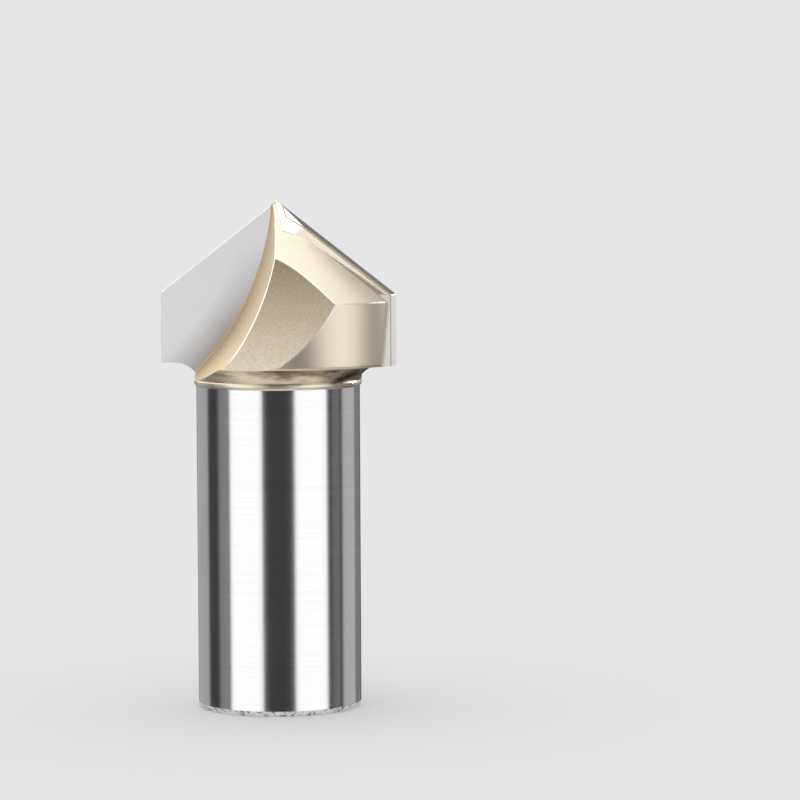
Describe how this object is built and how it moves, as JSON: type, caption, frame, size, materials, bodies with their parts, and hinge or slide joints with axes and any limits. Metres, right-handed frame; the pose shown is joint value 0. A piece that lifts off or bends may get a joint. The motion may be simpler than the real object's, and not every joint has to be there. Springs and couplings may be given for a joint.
{
  "type": "v groove router bit",
  "caption": "Router bit with a plain round shank and a V-pointed head with brazed carbide tips, clamped in a collet to cut V grooves.",
  "frame": {"origin": "centre of the shank's end face, which the bit stands on", "axes": "+Z along the bit's axis towards the point; the rake faces lie in the plane of X and Z, the right-hand one looks towards +Y and the left-hand one towards -Y"},
  "size_m": [0.019, 0.0178, 0.0393],
  "materials": {
    "steel": "ground bright shank, head blasted and coated champagne",
    "carbide": "fine ground",
    "braze": "thin brazed seam"
  },
  "bodies": {
    "root": {"steel_body": "steel", "carbide_tip_right": "carbide", "carbide_tip_left": "carbide", "braze_seam_right": "braze", "braze_seam_left": "braze"}
  },
  "joints": []
}
